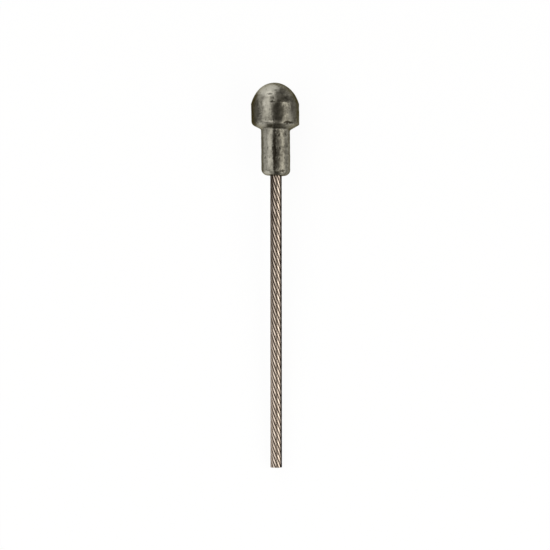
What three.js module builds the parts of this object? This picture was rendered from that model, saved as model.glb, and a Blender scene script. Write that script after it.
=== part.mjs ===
// A bicycle brake cable's lever end: a domed, stepped nipple of grey zinc alloy, die-cast on a
// strand of nineteen steel wires that has been cut off square a few centimetres below it.
//
// The strand is one core wire, six inner wires round it and twelve outer wires round those. Both
// layers turn the same way with the same lay, so each outer wire keeps to its own ridge or furrow
// of the layer under it. The wires turn left-handed: seen from any side they run up to the left.
//
// The cable lies on the XY plane as it comes to rest, on the rim of its head and the lowest
// corner of its cut end, with the head towards +Y. Lengths are in millimetres and +Z is up.

import * as THREE from 'three';
import { mergeVertices } from 'three/addons/utils/BufferGeometryUtils.js';

// Wires of the strand
const WIRE_DIAMETER = 0.29;
const WIRE_CLEARANCE = 0.01;
const INNER_WIRE_COUNT = 6;
const OUTER_WIRE_COUNT = 12;
const WIRE_SIDES = 6;

// Lay of the strand: its length for one full turn of a wire, a little shorter at the cut end
const LAY_AT_NIPPLE = 12.3;
const LAY_AT_CUT = 10.6;
const STATIONS_PER_TURN = 16;

// The strand's length outside the nipple
const FREE_LENGTH = 37.3;

// Splay of the wire ends inside the casting, which the metal locks on, and the metal over them
const METAL_OVER_WIRES = 2.33;
const SPLAY_LENGTH = 3.2;
const SPLAY_WIDTH = 0.45;
const INNER_SPLAY_SHARE = 0.5;

// Nipple: head
const HEAD_RADIUS = 3.06;
const HEAD_DRAFT = 0.02;
const DOME_HEIGHT = 2.77;
const DOME_CURVE_HEIGHT = 3.58;
const HEAD_WALL_HEIGHT = 2.53;
const RIM_CHAMFER = 0.08;

// Nipple: shoulder cone and shank
const CONE_HEIGHT = 0.68;
const SHANK_RADIUS = 1.85;
const SHANK_LENGTH = 5.95;
const NECK_FILLET = 0.18;
const END_CORNER = 0.78;
const BORE_CLEARANCE = 0.02;

// Facets of the round forms. The nipple's are wide enough for it to rest on one without rolling.
const NIPPLE_SIDES = 16;
const DOME_STEPS = 8;
const CORNER_STEPS = 4;

// Derived sizes
const FULL_TURN = 2 * Math.PI;
const LAYER_STEP = WIRE_DIAMETER + WIRE_CLEARANCE;
const INNER_LAYER_RADIUS = layerRadius(INNER_WIRE_COUNT, 0);
const OUTER_LAYER_RADIUS = layerRadius(OUTER_WIRE_COUNT, INNER_LAYER_RADIUS);
const STRAND_RADIUS = OUTER_LAYER_RADIUS + WIRE_DIAMETER / 2;

// Places along the cable, measured from the end of the shank: positive into the nipple
const CUT_END = -FREE_LENGTH;
const NECK = SHANK_LENGTH;
const RIM = NECK + CONE_HEIGHT;
const DOME_FOOT = RIM + HEAD_WALL_HEIGHT;
const APEX = DOME_FOOT + DOME_HEIGHT;
const BURIED_END = APEX - METAL_OVER_WIRES;
const SPLAY_START = BURIED_END - SPLAY_LENGTH;

const FINISHES = {
  zinc: { color: 0x7d7a6c, roughness: 0.42, metalness: 0.9 },
  steel: { color: 0xb9ab98, roughness: 0.3, metalness: 1.0 },
};

// A layer lies on the one under it, or further out where its own wires need the room
function layerRadius(count, radiusUnder) {
  const sideBySide = LAYER_STEP / (2 * Math.sin(Math.PI / count));
  return Math.max(radiusUnder + LAYER_STEP, sideBySide);
}

// How far the outer layer stands out from its own radius at a place along the cable
function splayAt(along) {
  const share = Math.max(0, (along - SPLAY_START) / SPLAY_LENGTH);
  return SPLAY_WIDTH * share * share;
}

// The angle that a wire has turned through at a place along the cable, from the shank's end.
// The turns per millimetre change evenly from the one lay to the other.
function turnAt(along) {
  const rateAtNipple = 1 / LAY_AT_NIPPLE;
  const rateChange = (1 / LAY_AT_CUT - rateAtNipple) / FREE_LENGTH;
  const below = Math.max(0, -along);
  return FULL_TURN * (rateAtNipple * along - rateChange * below * below / 2);
}

// One wire of the strand: a straight wire on the axis, moved out station by station to its helix.
// Its sections lie square to the cable, where a round wire that leans with its lay is wider round
// the cable than across it. They don't turn with the helix, so the facets run along the wire.
function layWire(radius, startAngle, splayShare) {
  const length = BURIED_END - CUT_END;
  const turns = (turnAt(BURIED_END) - turnAt(CUT_END)) / FULL_TURN;
  const lean = Math.atan(FULL_TURN * radius / LAY_AT_NIPPLE);
  const section = new THREE.Shape().absarc(0, 0, WIRE_DIAMETER / 2, 0, FULL_TURN);
  const geometry = new THREE.ExtrudeGeometry(section, {
    depth: length,
    steps: radius > 0 ? Math.ceil(turns * STATIONS_PER_TURN) : 1,
    curveSegments: WIRE_SIDES / 2,
    bevelEnabled: false,
  });
  const points = geometry.getAttribute('position');
  const point = new THREE.Vector2();
  const origin = new THREE.Vector2();
  for (let i = 0; i < points.count; i += 1) {
    const along = CUT_END + points.getZ(i);
    const angle = startAngle - turnAt(along);
    point.set(points.getX(i), points.getY(i)).rotateAround(origin, -angle);
    point.x += radius + splayShare * splayAt(along);
    point.y /= Math.cos(lean);
    point.rotateAround(origin, angle);
    points.setXYZ(i, point.x, point.y, along);
  }
  return closedBody(geometry);
}

// Closes a body by merging the vertices that its faces share, and gives each facet its normal
function closedBody(geometry) {
  geometry.deleteAttribute('uv');
  geometry.deleteAttribute('normal');
  const body = mergeVertices(geometry).toNonIndexed();
  body.computeVertexNormals();
  return body;
}

// The dome is the top of an ellipse that reaches the head's radius at the dome's foot
function domeCurve(headTopRadius) {
  const footAngle = Math.asin(1 - DOME_HEIGHT / DOME_CURVE_HEIGHT);
  const halfWidth = headTopRadius / Math.cos(footAngle);
  const centre = APEX - DOME_CURVE_HEIGHT;
  return new THREE.EllipseCurve(0, centre, halfWidth, DOME_CURVE_HEIGHT, footAngle, Math.PI / 2);
}

// The corner radius of a faceted ring whose flats keep clear of this radius
function overFlats(radius) {
  return radius / Math.cos(Math.PI / NIPPLE_SIDES);
}

// The nipple's outline from the inner end of its blind bore, round the outside, to the apex
function nippleOutline() {
  const outline = [];

  // The bore: a cone where the wires splay, then straight down to its mouth
  const boreRadius = overFlats(STRAND_RADIUS + BORE_CLEARANCE);
  const coneRadius = overFlats(STRAND_RADIUS + SPLAY_WIDTH + BORE_CLEARANCE);
  const boreEnd = BURIED_END + BORE_CLEARANCE;
  outline.push(new THREE.Vector2(0, boreEnd));
  outline.push(new THREE.Vector2(coneRadius, boreEnd));
  outline.push(new THREE.Vector2(boreRadius, SPLAY_START));
  outline.push(new THREE.Vector2(boreRadius, 0));

  // The flat ring at the shank's end, and the rounded corner round it
  const corner = new THREE.EllipseCurve(
    SHANK_RADIUS - END_CORNER, END_CORNER, END_CORNER, END_CORNER, -Math.PI / 2, 0,
  );
  outline.push(...corner.getPoints(CORNER_STEPS));

  // The shank, the small fillet at the neck, and the cone out to the rim
  const coneWidth = HEAD_RADIUS - SHANK_RADIUS;
  const fillet = NECK_FILLET / Math.hypot(coneWidth, CONE_HEIGHT);
  outline.push(new THREE.Vector2(SHANK_RADIUS, NECK - NECK_FILLET));
  outline.push(new THREE.Vector2(SHANK_RADIUS + coneWidth * fillet, NECK + CONE_HEIGHT * fillet));
  outline.push(new THREE.Vector2(HEAD_RADIUS - RIM_CHAMFER, RIM - RIM_CHAMFER * CONE_HEIGHT / coneWidth));

  // The head's wall, with the slight draft that lets it out of its die, and the dome
  outline.push(new THREE.Vector2(HEAD_RADIUS, RIM + RIM_CHAMFER));
  outline.push(...domeCurve(HEAD_RADIUS + HEAD_DRAFT).getPoints(DOME_STEPS));
  return outline;
}

// The nipple stands on Z while it is made, with the middle of a facet on its underside
function nipple() {
  const halfFacet = Math.PI / NIPPLE_SIDES;
  const geometry = new THREE.LatheGeometry(nippleOutline(), NIPPLE_SIDES, halfFacet);
  geometry.rotateX(Math.PI / 2);
  return closedBody(geometry);
}

function finish({ color, roughness, metalness }) {
  return new THREE.MeshStandardMaterial({ color, roughness, metalness });
}

function named(name, geometry, finishName) {
  const mesh = new THREE.Mesh(geometry, finish(FINISHES[finishName]));
  mesh.name = name;
  return mesh;
}

// One layer of the strand: its wires stand evenly round the core
function layer(name, count, radius, splayShare) {
  const wires = new THREE.Group();
  for (let index = 0; index < count; index += 1) {
    const geometry = layWire(radius, FULL_TURN * index / count, splayShare);
    wires.add(named(`${name}_${index + 1}`, geometry, 'steel'));
  }
  return wires;
}

function cable() {
  const group = new THREE.Group();
  group.add(named('nipple', nipple(), 'zinc'));
  group.add(named('core_wire', layWire(0, 0, 0), 'steel'));
  group.add(layer('inner_wire', INNER_WIRE_COUNT, INNER_LAYER_RADIUS, INNER_SPLAY_SHARE));
  group.add(layer('outer_wire', OUTER_WIRE_COUNT, OUTER_LAYER_RADIUS, 1));
  return group;
}

// Lays the cable down: the axis points along +Y and rises towards the head, so that the head's
// rim and the strand's cut end both touch the floor
function lieDown(group) {
  const rimFlat = HEAD_RADIUS * Math.cos(Math.PI / NIPPLE_SIDES);
  const slope = Math.atan2(rimFlat - STRAND_RADIUS, RIM - CUT_END);
  group.rotation.x = -Math.PI / 2 + slope;
  const laid = new THREE.Group();
  laid.add(group);
  const box = new THREE.Box3().setFromObject(laid, true);
  const middle = box.getCenter(new THREE.Vector3());
  laid.position.set(-middle.x, -middle.y, -box.min.z);
  return laid;
}

export default lieDown(cable());
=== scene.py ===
"""The lever end of a bicycle brake cable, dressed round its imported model.

The frame holds a nipple of zinc alloy and nineteen wires as faceted solids. This script puts a
die-cast nipple and a finely laid strand in their places, gives both their finishes, and lights them
on a pale floor. Sizes of the cable and its marks are in millimetres; the frame, the finished meshes
and whatever is named so are in metres. "Along" is measured up the cable from the end of the shank,
positive into the nipple, and "down" towards the floor.
"""

import logging
import math
from dataclasses import dataclass, field
from enum import Enum
from typing import Any

import bmesh
import bpy
from mathutils import Matrix, Vector, noise


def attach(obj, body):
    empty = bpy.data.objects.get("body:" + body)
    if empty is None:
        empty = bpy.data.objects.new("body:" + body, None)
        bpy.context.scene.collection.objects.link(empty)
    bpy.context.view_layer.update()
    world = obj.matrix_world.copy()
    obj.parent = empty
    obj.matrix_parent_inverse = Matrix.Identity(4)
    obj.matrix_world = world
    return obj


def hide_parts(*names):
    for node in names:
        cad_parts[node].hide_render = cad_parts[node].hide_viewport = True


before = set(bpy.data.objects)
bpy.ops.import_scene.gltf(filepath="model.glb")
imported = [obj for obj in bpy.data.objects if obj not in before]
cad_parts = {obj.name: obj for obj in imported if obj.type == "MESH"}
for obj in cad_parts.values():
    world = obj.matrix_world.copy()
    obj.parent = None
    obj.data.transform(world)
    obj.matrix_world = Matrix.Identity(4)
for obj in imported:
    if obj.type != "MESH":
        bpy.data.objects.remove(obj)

log = logging.getLogger("brake_cable")

MM = 0.001
FULL_TURN = 2 * math.pi
QUARTER_TURN = math.pi / 2
NO_LENGTH = 1e-6
NOISE_SEED = 1
MARK_STEEPNESS = 1.3
SHARP_ANGLE = math.radians(50)
BODY = "root"
SMOOTH = "SMOOTHSTEP"

# A mix node's colours have numbers, because its names for them stand more than once
MIX_UNDER = 6
MIX_OVER = 7
MIX_RESULT = 2


class Slot(Enum):
    """The record's material slots."""

    ZINC = "nipple_zinc"
    STEEL = "wire_steel"


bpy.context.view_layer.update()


def srgb(hex_colour: str) -> tuple[float, float, float, float]:
    """Turns an sRGB hex colour into the linear colour that a shader takes.

    Args:
        hex_colour: Six hex digits after a hash sign.

    Returns:
        Red, green, blue and an alpha of one.
    """
    digits = hex_colour.lstrip("#")
    linear = []
    for start in (0, 2, 4):
        share = int(digits[start : start + 2], 16) / 255
        linear.append(share / 12.92 if share <= 0.04045 else ((share + 0.055) / 1.055) ** 2.4)
    return (linear[0], linear[1], linear[2], 1.0)


def add_node(
    tree: bpy.types.NodeTree, kind: str, inputs: dict | None = None, **settings: Any
) -> bpy.types.Node:
    """Adds a node with its settings, and gives each named input a value or a link.

    Args:
        tree: The tree that takes the node.
        kind: The node's Blender type.
        inputs: A value or another node's output for each input, by its name or number.
        settings: The node's own properties.

    Returns:
        The new node.
    """
    node = tree.nodes.new(kind)
    for name, value in settings.items():
        setattr(node, name, value)
    for name, value in (inputs or {}).items():
        if isinstance(value, bpy.types.NodeSocket):
            tree.links.new(value, node.inputs[name])
        else:
            node.inputs[name].default_value = value
    return node


def blank_material(name: str) -> tuple[bpy.types.Material, bpy.types.NodeTree]:
    """Makes a material with an empty node tree.

    Args:
        name: The material's name.

    Returns:
        The material and its tree.
    """
    material = bpy.data.materials.new(name)
    material.use_nodes = True
    material.node_tree.nodes.clear()
    return material, material.node_tree


def link_object(name: str, data: bpy.types.ID) -> bpy.types.Object:
    """Makes an object and links it into the scene.

    Args:
        name: The object's name.
        data: The mesh, the light or the camera that it shows.

    Returns:
        The object.
    """
    made = bpy.data.objects.new(name, data)
    bpy.context.collection.objects.link(made)
    return made


def smooth_share(share: float) -> float:
    """Returns a share held between 0 and 1, with soft ends."""
    held = min(1.0, max(0.0, share))
    return held * held * (3.0 - 2.0 * held)


@dataclass(frozen=True)
class LaidPose:
    """Where the cable lies: its axis, as the solid of the core wire gives it.

    The matrix lays down a mesh in millimetres that is made in the cable's own frame: the axis on Z
    with the shank's end at zero, X across the cable and Y down towards the floor.
    """

    matrix: Matrix

    @classmethod
    def from_core(cls, core: bpy.types.Object, free_length: float) -> "LaidPose":
        """Reads the pose off the core wire, a straight prism on the cable's axis.

        Args:
            core: The frame's object for the core wire.
            free_length: The strand's length outside the nipple.

        Returns:
            The pose.
        """
        points = [core.matrix_world @ vertex.co for vertex in core.data.vertices]
        middle = (min(p.y for p in points) + max(p.y for p in points)) / 2
        ends = []
        for above in (False, True):
            cap = [p for p in points if (p.y > middle) == above]
            ends.append(sum(cap, Vector()) / len(cap))
        cut, buried = ends
        up_cable = (buried - cut).normalized()
        across = Vector((1, 0, 0))
        down = up_cable.cross(across)
        shank_end = cut + up_cable * free_length * MM
        turned = Matrix((across, down, up_cable)).transposed().to_4x4()
        return cls(Matrix.Translation(shank_end) @ turned @ Matrix.Scale(MM, 4))

    def place(self, across: float, down: float, along: float) -> Vector:
        """Returns the frame's point for a point in the cable's own frame."""
        return self.matrix @ Vector((across, down, along))

    def finished(
        self, name: str, made: bmesh.types.BMesh, material: bpy.types.Material
    ) -> bpy.types.Object:
        """Turns a finished bmesh of the cable into an object of the frame.

        Args:
            name: The object's name.
            made: The bmesh, in the cable's own frame. It is freed.
            material: The object's one material.

        Returns:
            The object, at the origin, smooth but for its sharp edges.
        """
        bmesh.ops.recalc_face_normals(made, faces=made.faces)
        made.transform(self.matrix)
        mesh = bpy.data.meshes.new(name)
        made.to_mesh(mesh)
        made.free()
        mesh.materials.append(material)
        mesh.shade_smooth()
        mesh.set_sharp_from_angle(angle=SHARP_ANGLE)
        return link_object(name, mesh)


@dataclass(frozen=True)
class StudioCamera:
    """A camera that looks square at the cable's middle from the photograph's distance."""

    distance: float = 211.0
    view_angle_deg: float = 18.95
    middle_along: float = -12.69
    beside: float = -0.14
    roll_deg: float = -0.05
    sensor_width: float = 36.0
    nearest_m: float = 0.01
    farthest_m: float = 20.0

    def build(self, pose: LaidPose) -> None:
        """Makes the camera and sets it as the scene's own.

        Args:
            pose: Where the cable lies.
        """
        data = bpy.data.cameras.new("studio_camera")
        data.sensor_width = self.sensor_width
        data.angle = math.radians(self.view_angle_deg)
        data.clip_start = self.nearest_m
        data.clip_end = self.farthest_m
        camera = link_object("studio_camera", data)
        turned = pose.matrix.to_3x3().normalized()
        right, down, up_picture = (turned.col[i].normalized() for i in range(3))
        upright = Matrix((right, up_picture, -down)).transposed().to_4x4()
        eye = pose.place(self.beside, -self.distance, self.middle_along)
        roll = Matrix.Rotation(math.radians(self.roll_deg), 4, "Z")
        camera.matrix_world = Matrix.Translation(eye) @ upright @ roll
        bpy.context.scene.camera = camera


@dataclass(frozen=True)
class StripLight:
    """A long soft light that hangs beside the cable and runs along it.

    Its two long edges are given as angles from straight up, positive to the right, and its ends as
    metres past the cable's middle.
    """

    name: str
    from_deg: float
    to_deg: float
    radiance: float
    colour: str
    dome_end_m: float = 0.6
    cut_end_m: float = 0.6
    distance_m: float = 0.30

    def build(self, middle: Vector) -> None:
        """Hangs the light.

        Args:
            middle: The cable's middle, which the light faces.
        """
        half_angle = math.radians(abs(self.to_deg - self.from_deg) / 2)
        lean = math.radians((self.from_deg + self.to_deg) / 2)
        width = 2 * self.distance_m * math.tan(half_angle)
        length = self.dome_end_m + self.cut_end_m
        data = bpy.data.lights.new(self.name, "AREA")
        data.shape = "RECTANGLE"
        data.size = width
        data.size_y = length
        data.energy = self.radiance * math.pi * width * length
        data.color = srgb(self.colour)[:3]
        light = link_object(self.name, data)
        out = Vector((math.sin(lean), 0, math.cos(lean)))
        towards_dome = Vector((0, (self.dome_end_m - self.cut_end_m) / 2, 0))
        light.location = middle + out * self.distance_m + towards_dome
        light.rotation_euler = (0, lean, 0)


@dataclass(frozen=True)
class Studio:
    """The plain pale floor, the even surroundings and the two strip lights.

    The floor lies just under the cable's lowest pits, and white to the eye for the most part: only
    what is left over shows the cable's shadow.
    """

    floor_half_m: float = 1.5
    backdrop_height_m: float = 0.3
    floor_drop: float = 0.065
    floor_colour: str = "#f6f6f5"
    seen_white: float = 0.94
    surroundings: float = 0.15
    surroundings_colour: str = "#fff6e6"
    strips: tuple[StripLight, ...] = (
        StripLight("left_strip", -11.0, -66.0, 1.65, "#ffffff", dome_end_m=0.9),
        StripLight("right_strip", 30.0, 70.0, 2.65, "#fffdf8", dome_end_m=0.07),
    )

    def build(self, middle: Vector) -> None:
        """Makes the floor, the world and the lights.

        Args:
            middle: The cable's middle, which the lights face.
        """
        self.make_floor()
        self.make_world()
        for strip in self.strips:
            strip.build(middle)

    def make_floor(self) -> None:
        """Makes the floor, a flat sheet turned up at its far edges."""
        half = self.floor_half_m
        low = -self.floor_drop * MM
        mesh = bpy.data.meshes.new("floor")
        square = [(-half, -half), (half, -half), (half, half), (-half, half)]
        points = [(x, y, height) for height in (low, self.backdrop_height_m) for x, y in square]
        faces = [(0, 1, 2, 3)]
        for corner in range(len(square)):
            after = (corner + 1) % len(square)
            faces.append((corner, corner + len(square), after + len(square), after))
        mesh.from_pydata(points, [], faces)
        floor = link_object("floor", mesh)
        material, tree = blank_material("matt_backdrop_paper")
        matt = add_node(tree, "ShaderNodeBsdfDiffuse", {"Color": srgb(self.floor_colour)})
        white = add_node(tree, "ShaderNodeEmission", {"Color": (1, 1, 1, 1), "Strength": 1.0})
        ray = add_node(tree, "ShaderNodeLightPath").outputs
        seen = ray["Is Camera Ray"]
        for also in ("Is Glossy Ray", "Is Transmission Ray"):
            either = {0: seen, 1: ray[also]}
            seen = add_node(tree, "ShaderNodeMath", either, operation="MAXIMUM").outputs[0]
        part = {0: seen, 1: self.seen_white}
        share = add_node(tree, "ShaderNodeMath", part, operation="MULTIPLY")
        shown = add_node(
            tree,
            "ShaderNodeMixShader",
            {"Fac": share.outputs[0], 1: matt.outputs["BSDF"], 2: white.outputs["Emission"]},
        )
        add_node(tree, "ShaderNodeOutputMaterial", {"Surface": shown.outputs["Shader"]})
        mesh.materials.append(material)

    def make_world(self) -> None:
        """Gives the world its even grey."""
        world = bpy.data.worlds.new("studio_surroundings")
        world.use_nodes = True
        background = world.node_tree.nodes["Background"]
        background.inputs["Color"].default_value = srgb(self.surroundings_colour)
        background.inputs["Strength"].default_value = self.surroundings
        bpy.context.scene.world = world


@dataclass(frozen=True)
class SteelWireFinish:
    """Drawn high-carbon steel wire, bare: a tight bright surface with a warm film of oil and soil.

    Drawing leaves hair-fine lines along each wire. Soil and painted shade darken the grooves where
    wires meet, and painted shade darkens the strand's flanks.
    """

    clean: str = "#d8cbbd"
    filmed: str = "#ad9d8e"
    # The soiled colour is soil and painted shade in the grooves between wires.
    soiled: str = "#38281c"
    # The grimed colour is painted shade on the strand's flanks.
    painted_shade_coat: str = "#1c140e"
    # The flank tint is dark, so it paints shade on the wires' flanks at glancing angles.
    flank: str = "#3e3328"
    groove_limits: tuple[float, float] = (0.2, 0.78)
    soil_and_shade_most: float = 0.72
    painted_shade_least: float = 0.45
    roughness: float = 0.24
    cleanest_smoother: float = 0.05
    filmed_rougher: float = 0.12
    film_patch_mm: float = 1.6
    draw_line_mm: float = 0.03
    draw_line_share: float = 0.03
    draw_line_depth_mm: float = 0.004
    draw_line_strength: float = 0.25

    def build(self) -> bpy.types.Material:
        """Makes the material, which reads each wire's own section and length as an attribute.

        Returns:
            The material.
        """
        material, tree = blank_material("drawn_carbon_steel_wire")
        section = add_node(tree, "ShaderNodeAttribute", attribute_name="wire_place")
        depth = add_node(tree, "ShaderNodeAttribute", attribute_name="groove_depth")
        painted_shade = add_node(tree, "ShaderNodeAttribute", attribute_name="painted_shade")

        # Patches of film on the clean metal
        patches = add_node(
            tree,
            "ShaderNodeTexNoise",
            {"Vector": section.outputs["Vector"], "Scale": 1 / self.film_patch_mm, "Detail": 4.0},
        ).outputs["Fac"]

        # Soil and painted shade in the grooves between wires, and painted shade on the flanks,
        # strongest where the film is
        groove_from, groove_full = self.groove_limits
        groove_soil_and_shade = add_node(
            tree,
            "ShaderNodeMapRange",
            {
                "Value": depth.outputs["Fac"],
                "From Min": groove_from,
                "From Max": groove_full,
                "To Max": self.soil_and_shade_most,
            },
            interpolation_type=SMOOTH,
        )
        patchy = add_node(tree, "ShaderNodeMath", {0: patches, 1: self.painted_shade_least}, operation="ADD")
        painted_shade_coat = add_node(
            tree,
            "ShaderNodeMath",
            {0: painted_shade.outputs["Fac"], 1: patchy.outputs[0]},
            operation="MULTIPLY",
            use_clamp=True,
        )

        # Each coat over the one before it, from the clean metal up
        colour = srgb(self.clean)
        coats = (
            (patches, self.filmed),
            (groove_soil_and_shade.outputs["Result"], self.soiled),
            (painted_shade_coat.outputs[0], self.painted_shade_coat),
        )
        for share, over in coats:
            coat = {"Factor": share, MIX_UNDER: colour, MIX_OVER: srgb(over)}
            mixed = add_node(tree, "ShaderNodeMix", coat, data_type="RGBA")
            colour = mixed.outputs[MIX_RESULT]

        # Lines from the drawing die: fine round the wire, long along it
        stretch = add_node(
            tree,
            "ShaderNodeVectorMath",
            {0: section.outputs["Vector"], 1: (1, self.draw_line_share, 1)},
            operation="MULTIPLY",
        )
        lines = add_node(
            tree,
            "ShaderNodeTexNoise",
            {"Vector": stretch.outputs["Vector"], "Scale": 1 / self.draw_line_mm, "Detail": 2.0},
        )
        roughness = add_node(
            tree,
            "ShaderNodeMapRange",
            {
                "Value": patches,
                "To Min": self.roughness - self.cleanest_smoother,
                "To Max": self.roughness + self.filmed_rougher,
            },
        )
        bump = add_node(
            tree,
            "ShaderNodeBump",
            {
                "Height": lines.outputs["Fac"],
                "Strength": self.draw_line_strength,
                "Distance": self.draw_line_depth_mm * MM,
            },
        )
        steel = add_node(
            tree,
            "ShaderNodeBsdfPrincipled",
            {
                "Base Color": colour,
                "Metallic": 1.0,
                "Roughness": roughness.outputs["Result"],
                "Specular Tint": srgb(self.flank),
                "Normal": bump.outputs["Normal"],
            },
        )
        add_node(tree, "ShaderNodeOutputMaterial", {"Surface": steel.outputs["BSDF"]})
        return material


class MarkKind(Enum):
    """The kinds of marked place, soil with painted shade and rubbing with painted highlights, and
    the name of the attribute for each.
    """

    SOIL_AND_SHADE = "soiled"
    RUB_AND_HIGHLIGHT = "rubbed"


@dataclass(frozen=True)
class ZincFinish:
    """Die-cast zinc alloy, tumbled and dulled: an olive-grey satin skin, mottled, dark in its pits.

    Some places are brighter than the skin round them, rubbed by handling and painted with
    highlights, and soil lies in the hollows, with painted shade on the flanks.
    """

    # The rubbed colour paints highlights as well as rubbing, and the dark one paints shade as well
    # as soil.
    rubbed: str = "#b8b5a9"
    pale: str = "#89867b"
    middle: str = "#66635a"
    dark: str = "#2e2b24"
    flank: str = "#a49f8d"
    roughness: float = 0.36
    dull_rougher: float = 0.08
    bright_smoother: float = 0.06
    mottle_mm: float = 0.55
    mottle_limits: tuple[float, float] = (0.38, 0.62)
    grain_mm: float = 0.09
    grain_depth_mm: float = 0.012
    grain_strength: float = 0.35

    def build(self) -> bpy.types.Material:
        """Makes the material.

        Returns:
            The material.
        """
        material, tree = blank_material("die_cast_zinc_alloy")
        place = add_node(tree, "ShaderNodeTexCoord").outputs["Object"]
        soiled = add_node(tree, "ShaderNodeAttribute", attribute_name=MarkKind.SOIL_AND_SHADE.value)
        rubbed = add_node(tree, "ShaderNodeAttribute", attribute_name=MarkKind.RUB_AND_HIGHLIGHT.value)

        # The mottle of the skin, and over it the rubbing with painted highlights and the soil with
        # painted shade
        mottle = add_node(
            tree,
            "ShaderNodeTexNoise",
            {
                "Vector": place,
                "Scale": 1 / (self.mottle_mm * MM),
                "Detail": 5.0,
                "Roughness": 0.62,
                "Distortion": 0.4,
            },
        ).outputs["Fac"]
        dull_at, bright_at = self.mottle_limits
        spread = add_node(
            tree,
            "ShaderNodeMapRange",
            {"Value": mottle, "From Min": dull_at, "From Max": bright_at},
            interpolation_type=SMOOTH,
        )
        colour = srgb(self.middle)
        coats = (
            (spread.outputs["Result"], self.pale),
            (rubbed.outputs["Fac"], self.rubbed),
            (soiled.outputs["Fac"], self.dark),
        )
        for share, over in coats:
            coat = {"Factor": share, MIX_UNDER: colour, MIX_OVER: srgb(over)}
            mixed = add_node(tree, "ShaderNodeMix", coat, data_type="RGBA")
            colour = mixed.outputs[MIX_RESULT]

        # The fine grain of the casting
        grain = add_node(
            tree,
            "ShaderNodeTexNoise",
            {"Vector": place, "Scale": 1 / (self.grain_mm * MM), "Detail": 3.0},
        )
        roughness = add_node(
            tree,
            "ShaderNodeMapRange",
            {
                "Value": mottle,
                "To Min": self.roughness + self.dull_rougher,
                "To Max": self.roughness - self.bright_smoother,
            },
        )
        bump = add_node(
            tree,
            "ShaderNodeBump",
            {
                "Height": grain.outputs["Fac"],
                "Strength": self.grain_strength,
                "Distance": self.grain_depth_mm * MM,
            },
        )
        zinc = add_node(
            tree,
            "ShaderNodeBsdfPrincipled",
            {
                "Base Color": colour,
                "Metallic": 1.0,
                "Roughness": roughness.outputs["Result"],
                "Specular Tint": srgb(self.flank),
                "Normal": bump.outputs["Normal"],
            },
        )
        add_node(tree, "ShaderNodeOutputMaterial", {"Surface": zinc.outputs["BSDF"]})
        return material


@dataclass(frozen=True)
class WireLayer:
    """One layer of the strand: how many wires it has, and where they lie round the core.

    Every other wire of a layer may lie a little further in. A wire's mesh has its number of sides
    round it, and a station for each step along it.
    """

    name: str
    count: int
    radius: float
    wire_radius: float
    splay_share: float
    sides: int
    station_step: float
    step_in: float = 0.0


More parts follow.
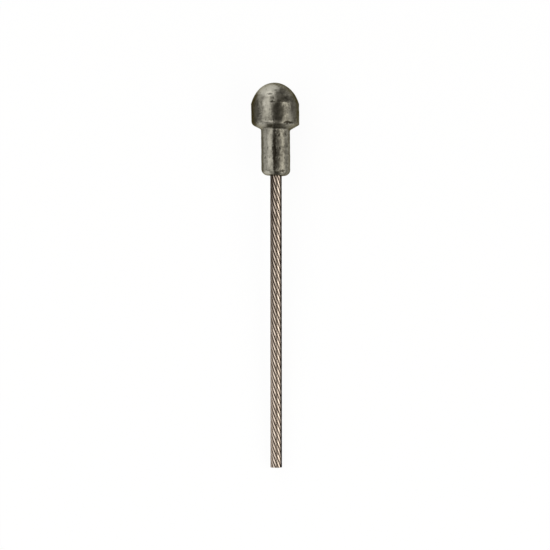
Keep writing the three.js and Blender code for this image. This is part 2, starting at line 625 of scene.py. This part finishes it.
@dataclass
class Strand:
    """Nineteen steel wires in left-hand lay, cut off square, with their ends splayed in the nipple.

    Painted shade darkens the strand's upper side towards its flanks. Its limits are sides of the
    strand, from -1 at the left edge to 1 at the right: the place where it begins and the place from
    where it is full.
    """

    drawn_radius: float = 0.738
    drawn_edge: float = 0.03
    lay_at_nipple: float = 12.3
    lay_at_cut: float = 10.6
    free_length: float = 37.3
    buried_length: float = 9.60
    splay_start: float = 6.40
    splay_length: float = 3.2
    splay_width: float = 0.45
    diameter: float = 1.5
    layers: tuple[WireLayer, ...] = (
        WireLayer("core", 1, 0.0, 0.145, 0.0, 16, 1.0),
        WireLayer("inner", 6, 0.30, 0.145, 0.5, 12, 0.35),
        WireLayer("outer", 12, 0.62, 0.155, 1.0, 32, 0.18, 0.02),
    )
    # Where painted shade lies on the upper side: all along the right flank, and over the left half
    # near the nipple.
    painted_shade_right: tuple[float, float] = (0.62, 0.80)
    painted_shade_left: tuple[float, float] = (-0.05, -0.66)
    painted_shade_reach: float = 30.0
    painted_shade_left_most: float = 0.80
    painted_shade_low_edge: tuple[float, float] = (0.15, -0.2)
    film_offset: float = 7.3
    route_points: int = 24
    finish: SteelWireFinish = field(default_factory=SteelWireFinish)

    def layer_tree(self) -> bpy.types.NodeTree:
        """Builds the Geometry Nodes tree that lays one layer of wires.

        A straight wire is swept along the axis and copied once for each place in the layer. Every
        point is then moved out and turned by the lay, which tightens evenly towards the cut end.

        Returns:
            The tree, with named inputs for the layer's sizes.
        """
        tree = bpy.data.node_groups.new("lay_wires", "GeometryNodeTree")
        face = tree.interface
        face.new_socket("Geometry", in_out="INPUT", socket_type="NodeSocketGeometry")
        face.new_socket("Geometry", in_out="OUTPUT", socket_type="NodeSocketGeometry")
        for name in ("Wires", "Sides", "Stations"):
            face.new_socket(name, in_out="INPUT", socket_type="NodeSocketInt")
        numbers = (
            "Layer Radius",
            "Wire Radius",
            "Cut End",
            "Buried End",
            "Turns Rate",
            "Turns Rate Change",
            "Section Stretch",
            "Splay Start",
            "Splay Length",
            "Splay Width",
            "Step In",
            "Drawn Radius",
            "Drawn Edge",
        )
        for name in numbers:
            face.new_socket(name, in_out="INPUT", socket_type="NodeSocketFloat")
        face.new_socket("Material", in_out="INPUT", socket_type="NodeSocketMaterial")
        given = add_node(tree, "NodeGroupInput").outputs

        # One straight wire on the axis, capped at both ends
        start = add_node(tree, "ShaderNodeCombineXYZ", {"Z": given["Cut End"]})
        end = add_node(tree, "ShaderNodeCombineXYZ", {"Z": given["Buried End"]})
        line = add_node(
            tree,
            "GeometryNodeCurvePrimitiveLine",
            {"Start": start.outputs[0], "End": end.outputs[0]},
        )
        path = add_node(
            tree,
            "GeometryNodeResampleCurve",
            {"Curve": line.outputs[0], "Count": given["Stations"]},
        )
        ring = add_node(
            tree,
            "GeometryNodeCurvePrimitiveCircle",
            {"Resolution": given["Sides"], "Radius": given["Wire Radius"]},
        )
        wire = add_node(
            tree,
            "GeometryNodeCurveToMesh",
            {"Curve": path.outputs[0], "Profile Curve": ring.outputs[0], "Fill Caps": True},
        )
        here = add_node(tree, "GeometryNodeInputPosition")
        marked = add_node(
            tree,
            "GeometryNodeStoreNamedAttribute",
            {"Geometry": wire.outputs[0], "Name": "straight_place", "Value": here.outputs[0]},
            data_type="FLOAT_VECTOR",
            domain="POINT",
        )

        # One copy for each place in the layer, numbered
        places = add_node(tree, "GeometryNodePoints", {"Count": given["Wires"]})
        copies = add_node(
            tree,
            "GeometryNodeInstanceOnPoints",
            {"Points": places.outputs[0], "Instance": marked.outputs[0]},
        )
        number = add_node(tree, "GeometryNodeInputIndex")
        numbered = add_node(
            tree,
            "GeometryNodeStoreNamedAttribute",
            {"Geometry": copies.outputs[0], "Name": "wire_number", "Value": number.outputs[0]},
            data_type="FLOAT",
            domain="INSTANCE",
        )
        real = add_node(tree, "GeometryNodeRealizeInstances", {"Geometry": numbered.outputs[0]})

        # What each point knows: the tree's inputs, its wire's number and its place on that wire
        known = {socket.name: socket for socket in given if socket.name}
        for name, data_type in (("wire_number", "FLOAT"), ("straight_place", "FLOAT_VECTOR")):
            kept = add_node(
                tree, "GeometryNodeInputNamedAttribute", {"Name": name}, data_type=data_type
            )
            known[name] = kept.outputs[0]
        straight = add_node(tree, "ShaderNodeSeparateXYZ", {0: known["straight_place"]}).outputs
        known.update(outward=straight["X"], round=straight["Y"], along=straight["Z"])

        # The sums, each worked out from what is known by then
        for name, operation, *terms in self.sums():
            inputs = {place: known.get(term, term) for place, term in enumerate(terms)}
            if operation == SMOOTH:
                result = add_node(tree, "ShaderNodeMapRange", inputs, interpolation_type=SMOOTH)
            else:
                result = add_node(tree, "ShaderNodeMath", inputs, operation=operation)
            known[name] = result.outputs[0]

        # Every point moved to its laid place, with what the finish reads
        laid_place = {"X": known["across"], "Y": known["down"], "Z": known["along"]}
        film_place = {"X": known["around"], "Y": known["along"], "Z": known["unlike"]}
        moved = add_node(
            tree,
            "GeometryNodeSetPosition",
            {
                "Geometry": real.outputs[0],
                "Position": add_node(tree, "ShaderNodeCombineXYZ", laid_place).outputs[0],
            },
        )
        laid = moved.outputs[0]
        wire_place = add_node(tree, "ShaderNodeCombineXYZ", film_place).outputs[0]
        read_by_finish = (
            ("wire_place", "FLOAT_VECTOR", wire_place),
            ("groove_depth", "FLOAT", known["depth"]),
            ("painted_shade", "FLOAT", known["painted_shade"]),
        )
        for name, data_type, value in read_by_finish:
            kept = add_node(
                tree,
                "GeometryNodeStoreNamedAttribute",
                {"Geometry": laid, "Name": name, "Value": value},
                data_type=data_type,
                domain="POINT",
            )
            laid = kept.outputs[0]
        again = add_node(tree, "GeometryNodeRealizeInstances", {"Geometry": laid})
        dressed = add_node(
            tree,
            "GeometryNodeSetMaterial",
            {"Geometry": again.outputs[0], "Material": given["Material"]},
        )
        add_node(tree, "NodeGroupOutput", {"Geometry": dressed.outputs[0]})
        return tree

    def sums(self) -> tuple[tuple[Any, ...], ...]:
        """Writes down the sums that take a point of a straight wire to its place in the strand.

        Returns:
            The sums in order. Each has a name for its result and its operation, then its terms: the
            names of inputs and of earlier results, or numbers. A smooth one gives nothing at the
            first number after its value, one at the second, and a soft share between.
        """
        return (
            # How far the point has turned with the lay
            ("behind", "MULTIPLY", "along", -1.0),
            ("below", "MAXIMUM", "behind", 0.0),
            ("steady", "MULTIPLY", "Turns Rate", "along"),
            ("below_square", "MULTIPLY", "below", "below"),
            ("tightening", "MULTIPLY", "Turns Rate Change", "below_square"),
            ("tightened", "MULTIPLY", "tightening", 0.5),
            ("turns", "SUBTRACT", "steady", "tightened"),
            ("first_turn", "DIVIDE", "wire_number", "Wires"),
            ("turned", "SUBTRACT", "first_turn", "turns"),
            ("angle", "MULTIPLY", "turned", FULL_TURN),
            # How far out it lies: its layer, the splay, and every other wire a little in
            ("into_splay", "SUBTRACT", "along", "Splay Start"),
            ("splay_part", "DIVIDE", "into_splay", "Splay Length"),
            ("splay_share", "MAXIMUM", "splay_part", 0.0),
            ("splay_square", "MULTIPLY", "splay_share", "splay_share"),
            ("splay", "MULTIPLY", "Splay Width", "splay_square"),
            ("odd", "MODULO", "wire_number", 2.0),
            ("step", "MULTIPLY", "odd", "Step In"),
            ("splayed", "ADD", "Layer Radius", "splay"),
            ("out", "SUBTRACT", "splayed", "step"),
            ("radial", "ADD", "outward", "out"),
            ("sideways", "MULTIPLY", "round", "Section Stretch"),
            # The die that the strand was drawn through has flattened the crowns to its own round
            ("radial_square", "MULTIPLY", "radial", "radial"),
            ("sideways_square", "MULTIPLY", "sideways", "sideways"),
            ("reach_square", "ADD", "radial_square", "sideways_square"),
            ("reach", "SQRT", "reach_square"),
            ("die", "ADD", "Drawn Radius", "splay"),
            ("drawn", "SMOOTH_MIN", "reach", "die", "Drawn Edge"),
            ("some_reach", "MAXIMUM", "reach", NO_LENGTH),
            ("drawn_share", "DIVIDE", "drawn", "some_reach"),
            ("drawn_radial", "MULTIPLY", "radial", "drawn_share"),
            ("drawn_sideways", "MULTIPLY", "sideways", "drawn_share"),
            # Turned to its place round the strand
            ("cosine", "COSINE", "angle"),
            ("sine", "SINE", "angle"),
            ("radial_across", "MULTIPLY", "drawn_radial", "cosine"),
            ("sideways_across", "MULTIPLY", "drawn_sideways", "sine"),
            ("across", "SUBTRACT", "radial_across", "sideways_across"),
            ("radial_down", "MULTIPLY", "drawn_radial", "sine"),
            ("sideways_down", "MULTIPLY", "drawn_sideways", "cosine"),
            ("down", "ADD", "radial_down", "sideways_down"),
            # Painted shade: all along the right flank, and on the left less and less away from the
            # nipple
            ("some_drawn", "MAXIMUM", "drawn", NO_LENGTH),
            ("side", "DIVIDE", "across", "some_drawn"),
            ("right_painted_shade", SMOOTH, "side", *self.painted_shade_right),
            ("left_flank", SMOOTH, "side", *self.painted_shade_left),
            ("by_nipple", SMOOTH, "along", -self.painted_shade_reach, 0.0),
            ("left_most", "MULTIPLY", "by_nipple", self.painted_shade_left_most),
            ("left_painted_shade", "MULTIPLY", "left_flank", "left_most"),
            ("both_flanks", "MAXIMUM", "right_painted_shade", "left_painted_shade"),
            ("upper", SMOOTH, "down", *self.painted_shade_low_edge),
            ("painted_shade", "MULTIPLY", "both_flanks", "upper"),
            # The place round the wire, and a third one by which no two wires wear the same film
            ("round_angle", "ARCTAN2", "round", "outward"),
            ("around", "MULTIPLY", "round_angle", "Wire Radius"),
            ("unlike", "MULTIPLY", "wire_number", self.film_offset),
            # How deep in a groove the point lies: not at all on the crown, and all of it inside
            ("off_crown", "ABSOLUTE", "round"),
            ("aside", "DIVIDE", "off_crown", "Wire Radius"),
            ("inside", "LESS_THAN", "outward", 0.0),
            ("depth", "MAXIMUM", "aside", "inside"),
        )

    def lay(
        self,
        layer: WireLayer,
        stretch: tuple[float, float],
        tree: bpy.types.NodeTree,
        material: bpy.types.Material,
    ) -> bpy.types.Mesh:
        """Lays one layer and returns it as a plain mesh.

        Args:
            layer: The layer's sizes.
            stretch: Where along the cable the wires begin and end.
            tree: The tree that lays wires.
            material: The wires' finish.

        Returns:
            The layer's mesh, in the cable's own frame.
        """
        begin, end = stretch
        rate = 1 / self.lay_at_nipple
        lean = math.atan(FULL_TURN * layer.radius / self.lay_at_nipple)
        values = {
            "Wires": layer.count,
            "Sides": layer.sides,
            "Stations": math.ceil((end - begin) / layer.station_step) + 1,
            "Layer Radius": layer.radius,
            "Wire Radius": layer.wire_radius,
            "Cut End": begin,
            "Buried End": end,
            "Turns Rate": rate,
            "Turns Rate Change": (1 / self.lay_at_cut - rate) / self.free_length,
            "Section Stretch": 1 / math.cos(lean),
            "Splay Start": self.splay_start,
            "Splay Length": self.splay_length,
            "Splay Width": self.splay_width * layer.splay_share,
            "Step In": layer.step_in,
            "Drawn Radius": self.drawn_radius,
            "Drawn Edge": self.drawn_edge,
            "Material": material,
        }
        holder = link_object(f"{layer.name}_layer", bpy.data.meshes.new(f"{layer.name}_layer"))
        modifier = holder.modifiers.new("lay_wires", "NODES")
        modifier.node_group = tree
        for item in tree.interface.items_tree:
            if item.in_out == "INPUT" and item.name in values:
                modifier[item.identifier] = values[item.name]
        graph = bpy.context.evaluated_depsgraph_get()
        mesh = bpy.data.meshes.new_from_object(holder.evaluated_get(graph))
        holder.modifiers.remove(modifier)
        bpy.data.objects.remove(holder)
        return mesh

    def stretch_of_strand(
        self,
        name: str,
        stretch: tuple[float, float],
        tree: bpy.types.NodeTree,
        material: bpy.types.Material,
        pose: LaidPose,
    ) -> bpy.types.Object:
        """Makes all nineteen wires over one stretch of the strand, as one piece.

        Args:
            name: The piece's name.
            stretch: Where along the cable it begins and ends.
            tree: The tree that lays wires.
            material: The wires' finish.
            pose: Where the cable lies.

        Returns:
            The piece, riding on its body.
        """
        joined = bmesh.new()
        for layer in self.layers:
            joined.from_mesh(self.lay(layer, stretch, tree, material))
        piece = pose.finished(name, joined, material)
        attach(piece, BODY)
        return piece

    def build(self, pose: LaidPose) -> list[bpy.types.Object]:
        """Makes the free strand and its ends in the nipple.

        Args:
            pose: Where the cable lies.

        Returns:
            The two pieces.
        """
        tree = self.layer_tree()
        material = self.finish.build()
        free = (-self.free_length, 0.0)
        buried = (0.0, self.buried_length)
        strand = self.stretch_of_strand("wire_strand", free, tree, material, pose)
        ends = self.stretch_of_strand("splayed_wire_ends", buried, tree, material, pose)
        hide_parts(*self.solids())
        return [strand, ends]

    def solids(self) -> list[str]:
        """Names the wires' solids in the frame.

        Returns:
            Their names, from the core outwards.
        """
        names = ["core_wire"]
        for layer in self.layers[1:]:
            names += [f"{layer.name}_wire_{number + 1}" for number in range(layer.count)]
        return names


@dataclass(frozen=True)
class Mark:
    """A marked place on the nipple's upper side: an oval, with its kind, soil with painted shade or
    rubbing with painted highlight, and its strength.

    It is given by its middle and its half sizes, and by how deep its middle is sunk.
    """

    across: float
    along: float
    half_width: float
    half_length: float
    mark_kind: MarkKind
    strength: float
    depth: float = 0.0

    def share(self, across: float, along: float) -> float:
        """Works out how much of the mark a point has.

        Args:
            across: The point's place across the cable.
            along: Its place along the cable.

        Returns:
            One round the mark's middle, and less and less up to none at its edge.
        """
        beside = (across - self.across) / self.half_width
        beyond = (along - self.along) / self.half_length
        return smooth_share(MARK_STEEPNESS * (1.0 - beside * beside - beyond * beyond))


# Some of these marks are painted light: the rubbed ones paint highlights, the dome's bright top
# left and the cone's bright sides among them, and the soiled ones paint shade as well as soil, on
# the head's dark flanks among them.
HEAD_MARKS = (
    Mark(-0.80, 10.80, 1.70, 1.10, MarkKind.RUB_AND_HIGHLIGHT, 1.0),
    Mark(-1.07, 9.01, 0.64, 1.09, MarkKind.RUB_AND_HIGHLIGHT, 0.35),
    Mark(0.30, 10.10, 0.80, 0.80, MarkKind.RUB_AND_HIGHLIGHT, 0.40),
    Mark(-0.56, 10.25, 0.32, 0.17, MarkKind.SOIL_AND_SHADE, 0.75, 0.02),
    Mark(0.79, 10.55, 0.93, 0.48, MarkKind.SOIL_AND_SHADE, 0.35),
    Mark(-0.29, 9.20, 0.46, 0.20, MarkKind.SOIL_AND_SHADE, 0.85, 0.02),
    Mark(1.58, 9.65, 0.58, 0.42, MarkKind.SOIL_AND_SHADE, 0.65, 0.02),
    Mark(-0.40, 6.70, 1.35, 0.13, MarkKind.RUB_AND_HIGHLIGHT, 0.5),
    Mark(1.62, 6.62, 0.85, 0.22, MarkKind.SOIL_AND_SHADE, 1.0, 0.03),
    Mark(1.97, 6.44, 0.77, 0.12, MarkKind.RUB_AND_HIGHLIGHT, 0.5),
    Mark(-1.84, 6.31, 0.90, 0.35, MarkKind.RUB_AND_HIGHLIGHT, 0.7),
    Mark(1.97, 6.19, 0.77, 0.26, MarkKind.RUB_AND_HIGHLIGHT, 0.15),
    Mark(0.22, 6.13, 1.25, 0.31, MarkKind.SOIL_AND_SHADE, 0.35),
    Mark(0.38, 7.85, 1.02, 1.75, MarkKind.SOIL_AND_SHADE, 0.75),
    Mark(1.85, 7.75, 0.42, 1.50, MarkKind.RUB_AND_HIGHLIGHT, 0.10),
    Mark(0.95, 10.60, 0.60, 0.55, MarkKind.SOIL_AND_SHADE, 0.55),
    Mark(-2.62, 8.30, 0.75, 2.60, MarkKind.SOIL_AND_SHADE, 0.72),
    Mark(2.51, 8.74, 0.74, 2.62, MarkKind.SOIL_AND_SHADE, 0.55),
)

# Here too the rubbed marks brighten the shank, partly as painted highlights, and the long soiled
# mark on its left flank is painted shade beside the soil along the parting line and in pits.
SHANK_MARKS = (
    Mark(-1.20, 3.05, 0.72, 3.60, MarkKind.RUB_AND_HIGHLIGHT, 0.32),
    Mark(-0.14, 2.96, 0.34, 3.60, MarkKind.SOIL_AND_SHADE, 1.0, 0.01),
    Mark(-0.08, 5.64, 0.24, 0.29, MarkKind.SOIL_AND_SHADE, 0.9, 0.03),
    Mark(0.42, 5.12, 0.18, 0.18, MarkKind.SOIL_AND_SHADE, 0.9, 0.03),
    Mark(-0.04, 4.37, 0.13, 0.29, MarkKind.SOIL_AND_SHADE, 0.8, 0.02),
    Mark(-0.11, 3.64, 0.23, 0.26, MarkKind.SOIL_AND_SHADE, 0.9, 0.03),
    Mark(0.47, 3.47, 0.13, 0.18, MarkKind.SOIL_AND_SHADE, 0.8, 0.02),
    Mark(-0.11, 2.07, 0.15, 0.44, MarkKind.SOIL_AND_SHADE, 0.8, 0.02),
    Mark(-0.04, 0.87, 0.26, 0.24, MarkKind.SOIL_AND_SHADE, 0.9, 0.03),
    Mark(1.31, 5.16, 0.13, 0.18, MarkKind.SOIL_AND_SHADE, 0.8, 0.02),
    Mark(0.85, 2.40, 0.10, 0.83, MarkKind.SOIL_AND_SHADE, 0.45, 0.01),
    Mark(-1.74, 3.00, 0.32, 3.30, MarkKind.SOIL_AND_SHADE, 0.45),
    Mark(0.45, 3.10, 0.52, 3.10, MarkKind.SOIL_AND_SHADE, 0.36),
    Mark(0.18, 0.31, 0.52, 0.32, MarkKind.SOIL_AND_SHADE, 0.85, 0.03),
    Mark(0.79, 0.55, 0.52, 0.17, MarkKind.SOIL_AND_SHADE, 0.9, 0.03),
    Mark(1.30, 0.20, 0.42, 0.26, MarkKind.RUB_AND_HIGHLIGHT, 0.1),
    Mark(-1.16, 0.29, 0.58, 0.35, MarkKind.RUB_AND_HIGHLIGHT, 0.9),
)


@dataclass(frozen=True)
class CastSkin:
    """The nipple's skin: how it swells, how rough and pitted it is, and its marks of soil and wear,
    which paint shade and highlights as well.

    The swells and the roughness are noises, given by how closely they repeat and how high they are.
    The marks lie on the upper side alone, and fade out over a depth down from its top edges.
    """

    broad_swell: tuple[float, float] = (1.1, 0.02)
    close_swell: tuple[float, float] = (2.6, 0.009)
    close_swell_from: tuple[float, float, float] = (5, 0, 0)
    roughness: tuple[float, float] = (6.5, 0.0035)
    roughness_fall: float = 0.9
    roughness_gap: float = 2.1
    roughness_octaves: int = 3
    pit_closeness: float = 3.4
    pits_from: tuple[float, float, float] = (0, 9, 4)
    pit_edge: float = 0.38
    pit_steepness: float = 2.2
    pit_depth: float = 0.03
    marks_fade: float = 0.6
    ragged_closeness: float = 4.5
    ragged_reach: float = 0.14
    marks: tuple[Mark, ...] = HEAD_MARKS + SHANK_MARKS

    def at(self, across: float, down: float, along: float) -> tuple[float, float, float]:
        """Works out the skin at a point of the casting's true form.

        Args:
            across: The point's place across the cable.
            down: Its place down towards the floor.
            along: Its place along the cable.

        Returns:
            How far the skin stands off its true form, then the soil with its painted shade and the
            rubbing with its painted highlights, from 0 to 1.
        """
        spot = Vector((across, down, along))
        off = self.swell(spot)
        hollow = noise.noise(spot * self.pit_closeness + Vector(self.pits_from))
        pit = max(0.0, hollow - self.pit_edge) * self.pit_steepness
        off -= self.pit_depth * pit
        mark_shares = {MarkKind.SOIL_AND_SHADE: pit, MarkKind.RUB_AND_HIGHLIGHT: 0.0}
        upper = min(1.0, max(0.0, -down / self.marks_fade))
        if upper > 0:
            ragged = noise.noise_vector(spot * self.ragged_closeness)
            marked_across = across + self.ragged_reach * ragged.x
            marked_along = along + self.ragged_reach * ragged.z
            for mark in self.marks:
                share = upper * mark.share(marked_across, marked_along)
                off -= mark.depth * share
                mark_shares[mark.mark_kind] = max(mark_shares[mark.mark_kind], mark.strength * share)
        return off, min(1.0, mark_shares[MarkKind.SOIL_AND_SHADE]), mark_shares[MarkKind.RUB_AND_HIGHLIGHT]

    def swell(self, spot: Vector) -> float:
        """Adds up the swells and the roughness.

        Args:
            spot: The point of the casting's true form.

        Returns:
            How far they lift the skin there.
        """
        closeness, height = self.broad_swell
        broad = noise.noise(spot * closeness) * height
        closeness, height = self.close_swell
        close = noise.noise(spot * closeness + Vector(self.close_swell_from)) * height
        closeness, height = self.roughness
        fall, gap, octaves = self.roughness_fall, self.roughness_gap, self.roughness_octaves
        return broad + close + noise.fractal(spot * closeness, fall, gap, octaves) * height


@dataclass(frozen=True)
class DieHalf:
    """What one half of the die gives its side of the nipple: its corners, and its neck and rim."""

    corner: float
    rim_round: float
    neck: float
    rim: float


@dataclass
class Nipple:
    """The die-cast nipple: a domed head, a short cone and a shank, cast in two die halves.

    The halves meet in a plane that stands up beside the axis. They don't quite match, so the left
    one is shifted a little towards the dome and has rounder corners than the right. The whole
    casting sits slightly askew on the strand, more so at its head.
    """

    head_radius: float = 3.06
    head_draft: float = 0.02
    dome_height: float = 2.77
    dome_curve_height: float = 3.95
    dome_foot: float = 9.16
    shank_radius: float = 1.85
    neck_fillet: float = 0.18
    left_half: DieHalf = DieHalf(corner=0.86, rim_round=0.42, neck=5.95, rim=6.55)
    right_half: DieHalf = DieHalf(corner=0.76, rim_round=0.07, neck=5.84, rim=6.52)
    bore_radius: float = 0.765
    bore_end_radius: float = 1.215
    bore_end: float = 9.62
    splay_start: float = 6.40
    parting: float = -0.35
    parting_width: float = 0.06
    mismatch: float = 0.06
    shank_beside: float = -0.03
    head_beside: float = -0.175
    sides: int = 256
    ring_step: float = 0.085
    corner_steps: int = 16
    round_steps: int = 8
    dome_steps: int = 32
    least_skin_radius: float = 0.02
    skin: CastSkin = field(default_factory=CastSkin)
    finish: ZincFinish = field(default_factory=ZincFinish)

    @property
    def apex(self) -> float:
        """The top of the dome."""
        return self.dome_foot + self.dome_height

    def outline(self, half: DieHalf) -> list[tuple[float, float]]:
        """Draws the outside of the nipple from the bore's mouth to the apex.

        Args:
            half: The half of the die that it is drawn for.

        Returns:
            Points of radius and place along, close together.
        """
        top_radius = self.head_radius + self.head_draft
        foot_angle = math.asin(1 - self.dome_height / self.dome_curve_height)
        half_width = top_radius / math.cos(foot_angle)
        centre = self.apex - self.dome_curve_height
        flat_edge = self.shank_radius - half.corner
        points: list[tuple[float, float]] = [(self.bore_radius, 0.0), (flat_edge, 0.0)]
        for step in range(1, self.corner_steps + 1):
            turn = QUARTER_TURN * step / self.corner_steps
            radius = flat_edge + half.corner * math.sin(turn)
            points.append((radius, half.corner * (1 - math.cos(turn))))
        mid_shank = (self.shank_radius, half.neck / 2)
        neck = (self.shank_radius, half.neck)
        rim = (self.head_radius, half.rim)
        points += self.rounded(mid_shank, neck, rim, self.neck_fillet)
        points += self.rounded(neck, rim, (top_radius, self.dome_foot), half.rim_round)
        for step in range(self.dome_steps + 1):
            turn = foot_angle + (QUARTER_TURN - foot_angle) * step / self.dome_steps
            height = centre + self.dome_curve_height * math.sin(turn)
            points.append((half_width * math.cos(turn), height))
        return points

    def rounded(
        self,
        before: tuple[float, float],
        corner: tuple[float, float],
        after: tuple[float, float],
        reach: float,
    ) -> list[tuple[float, float]]:
        """Rounds one corner of an outline.

        Args:
            before: The point before the corner.
            corner: The corner.
            after: The point after it.
            reach: How far from the corner the round begins.

        Returns:
            Points on a smooth curve through the round.
        """
        middle = Vector(corner)
        start = middle + (Vector(before) - middle).normalized() * reach
        end = middle + (Vector(after) - middle).normalized() * reach
        points = []
        for step in range(self.round_steps + 1):
            share = step / self.round_steps
            point = start * (1 - share) ** 2 + middle * 2 * share * (1 - share) + end * share**2
            points.append((point.x, point.y))
        return points

    @staticmethod
    def spaced(outline: list[tuple[float, float]], count: int) -> list[tuple[float, float]]:
        """Spreads a number of points evenly along an outline.

        Args:
            outline: The outline's own points.
            count: How many points to return.

        Returns:
            The evenly spaced points, both ends included.
        """
        lengths = [0.0]
        for before, after in zip(outline, outline[1:]):
            lengths.append(lengths[-1] + math.dist(before, after))
        points = []
        segment = 0
        for index in range(count):
            wanted = lengths[-1] * index / (count - 1)
            while segment < len(outline) - 2 and lengths[segment + 1] < wanted:
                segment += 1
            span = lengths[segment + 1] - lengths[segment]
            share = (wanted - lengths[segment]) / span if span else 0.0
            before, after = outline[segment], outline[segment + 1]
            points.append(tuple(a + (b - a) * share for a, b in zip(before, after)))
        return points

    def beside(self, along: float) -> float:
        """Returns how far the casting's own axis is beside the strand's, since it sits askew."""
        share = along / self.apex
        return self.shank_beside + (self.head_beside - self.shank_beside) * share * share

    def build(self, pose: LaidPose) -> bpy.types.Object:
        """Makes the nipple as one closed piece.

        Args:
            pose: Where the cable lies.

        Returns:
            The nipple's object.
        """
        left = self.outline(self.left_half)
        right = self.outline(self.right_half)
        length = sum(math.dist(before, after) for before, after in zip(right, right[1:]))
        count = int(length / self.ring_step)
        stations = list(zip(self.spaced(left, count), self.spaced(right, count)))
        made = bmesh.new()
        mark_layers = [made.verts.layers.float.new(mark_kind.value) for mark_kind in MarkKind]
        rings: list[list[bmesh.types.BMVert]] = []
        bore = [(self.bore_end_radius, self.bore_end), (self.bore_radius, self.splay_start)]
        for radius, along in bore:
            places = (self.turned(radius, index, along) for index in range(self.sides))
            rings.append([made.verts.new(place) for place in places])

        # The outside, but for its last station, which is the apex
        for number, station in enumerate(stations[:-1]):
            ring = []
            for index in range(self.sides):
                ring.append(self.skin_vertex(made, mark_layers, station, index, number == 0))
            rings.append(ring)
        blind = made.verts.new((0, 0, self.bore_end))
        apex = made.verts.new((self.beside(self.apex), 0, self.apex))
        for under, over in zip(rings, rings[1:]):
            for index in range(self.sides):
                after = (index + 1) % self.sides
                made.faces.new((under[index], under[after], over[after], over[index]))
        for index in range(self.sides):
            after = (index + 1) % self.sides
            made.faces.new((blind, rings[0][after], rings[0][index]))
            made.faces.new((rings[-1][index], rings[-1][after], apex))
        nipple = pose.finished("cast_nipple", made, self.finish.build())
        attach(nipple, BODY)
        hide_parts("nipple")
        return nipple

    def turned(self, radius: float, index: int, along: float) -> tuple[float, float, float]:
        """Returns the point of a ring at a radius and a place along."""
        angle = FULL_TURN * index / self.sides
        return (radius * math.sin(angle), -radius * math.cos(angle), along)

    def skin_vertex(
        self,
        made: bmesh.types.BMesh,
        mark_layers: list[bmesh.types.BMLayerItem],
        station: tuple[tuple[float, float], tuple[float, float]],
        index: int,
        at_mouth: bool,
    ) -> bmesh.types.BMVert:
        """Adds one vertex of the outer skin, on the outline of its own die half.

        Args:
            made: The mesh that takes the vertex.
            mark_layers: The layers that keep how much soil and painted shade, and how much rubbing
                and painted highlight, the skin has.
            station: The left and the right outline's points for the vertex's ring.
            index: The vertex's place round the ring.
            at_mouth: Whether the ring is the bore's mouth, which keeps to the strand's axis.

        Returns:
            The new vertex.
        """
        (left_radius, left_along), (right_radius, right_along) = station
        past_parting = self.turned(right_radius, index, 0.0)[0] - self.parting
        left_share = min(1.0, max(0.0, 0.5 - past_parting / self.parting_width))
        radius = right_radius + (left_radius - right_radius) * left_share
        shifted = left_along + self.mismatch * (1 - left_along / self.apex)
        along = right_along + (shifted - right_along) * left_share
        across, down, along = self.turned(radius, index, along)
        off, *mark_shares = self.skin.at(across, down, along)
        scale = 1.0
        beside = 0.0
        if not at_mouth:
            beside = self.beside(along)
            if radius > self.least_skin_radius:
                scale = (radius + off) / radius
        vertex = made.verts.new((across * scale + beside, down * scale, along))
        for layer, amount in zip(mark_layers, mark_shares):
            vertex[layer] = amount
        return vertex


@dataclass(frozen=True)
class BrakeCable:
    """The whole part: the strand, and the nipple cast on its end."""

    strand: Strand = field(default_factory=Strand)
    nipple: Nipple = field(default_factory=Nipple)


def report(piece: bpy.types.Object) -> None:
    """Logs a finished piece with its number of faces."""
    log.info("%s: %d faces", piece.name, len(piece.data.polygons))


def main() -> None:
    """Builds the camera, the cable and the studio, in that order.

    The seed fixes the ragged edges of the nipple's marks, which would change from run to run.
    """
    logging.basicConfig(level=logging.INFO, format="%(name)s: %(message)s", force=True)
    bpy.context.scene.view_settings.view_transform = "Standard"
    noise.seed_set(NOISE_SEED)
    cable = BrakeCable()
    pose = LaidPose.from_core(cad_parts["core_wire"], cable.strand.free_length)
    camera = StudioCamera()
    camera.build(pose)
    for piece in [*cable.strand.build(pose), cable.nipple.build(pose)]:
        report(piece)
    Studio().build(pose.place(0, 0, camera.middle_along))


if __name__ == "__main__":
    main()
